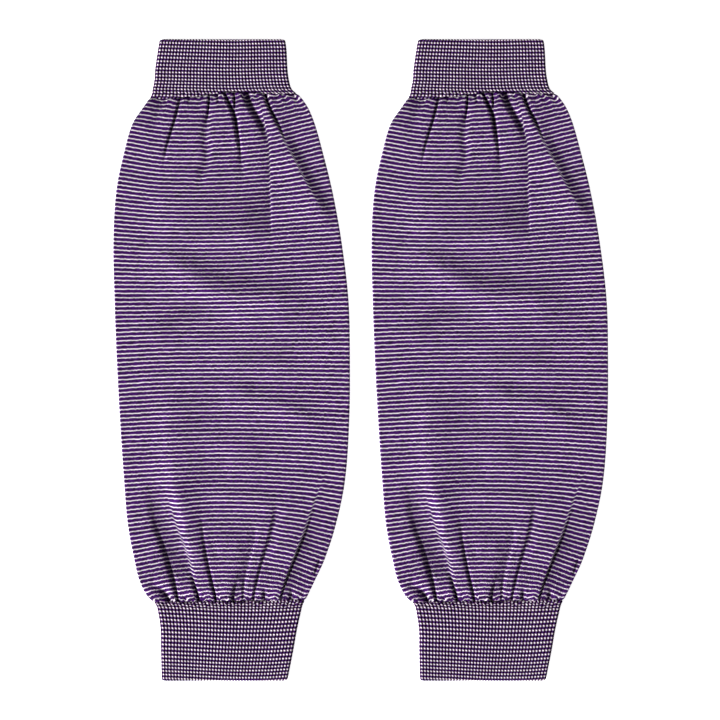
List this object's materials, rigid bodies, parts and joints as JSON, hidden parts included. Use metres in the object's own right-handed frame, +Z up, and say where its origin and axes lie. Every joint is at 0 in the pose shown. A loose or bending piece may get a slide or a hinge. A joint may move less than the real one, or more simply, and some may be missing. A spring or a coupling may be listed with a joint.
{
  "type": "pair of gathered knit oversleeves",
  "caption": "Two loose striped knit sleeves lying flat side by side, each gathered into a short ribbed cuff at one end and a longer ribbed cuff at the other.",
  "frame": {"origin": "centre of the pair on the surface that it lies on", "axes": "+Y from the wrist cuffs to the elbow cuffs, +X from the left sleeve to the right one, +Z up off the surface"},
  "size_m": [0.3077, 0.3998, 0.0068],
  "materials": {
    "stripe_knit": "matt jersey knit in fine purple and off-white stripes across the sleeve",
    "rib_knit": "matt one-by-one rib in the same purple and off-white yarns, so the stripes show as rows of dots"
  },
  "bodies": {
    "root": {"left_body": "stripe_knit", "left_wrist_cuff": "rib_knit", "left_elbow_cuff": "rib_knit", "right_body": "stripe_knit", "right_wrist_cuff": "rib_knit", "right_elbow_cuff": "rib_knit"}
  },
  "joints": []
}
